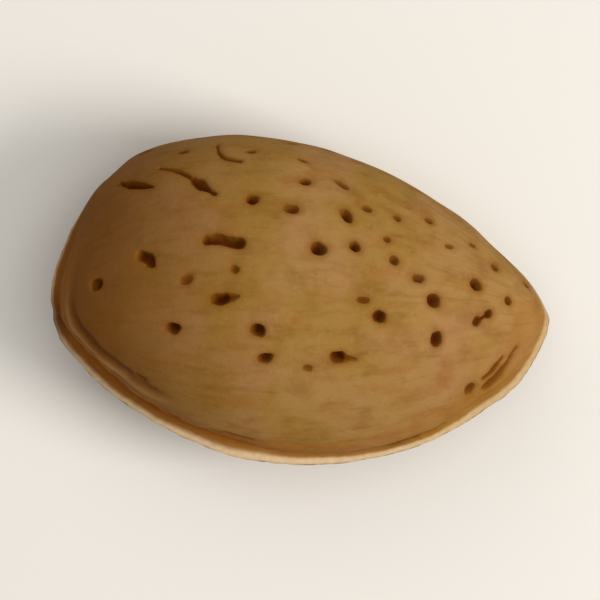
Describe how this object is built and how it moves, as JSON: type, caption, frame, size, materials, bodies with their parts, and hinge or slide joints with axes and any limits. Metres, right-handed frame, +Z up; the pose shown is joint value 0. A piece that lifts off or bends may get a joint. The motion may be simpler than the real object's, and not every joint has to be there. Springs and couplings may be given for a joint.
{
  "type": "almond",
  "caption": "Almond in its tan shell: an egg-shaped, slightly flattened nut with a pointed tip, a keeled edge and a skin full of small pits, lying on one broad side.",
  "frame": {"origin": "middle of the bounding box's underside, on the small flat spot that the nut rests on", "axes": "+X from the round base to the tip, +Y towards the rounded back edge and away from the keel, +Z up from the surface it lies on"},
  "size_m": [0.034, 0.0226, 0.0155],
  "materials": {
    "shell": "dry, matt tan shell with brown pits"
  },
  "bodies": {
    "root": {"almond": "shell"}
  },
  "joints": []
}
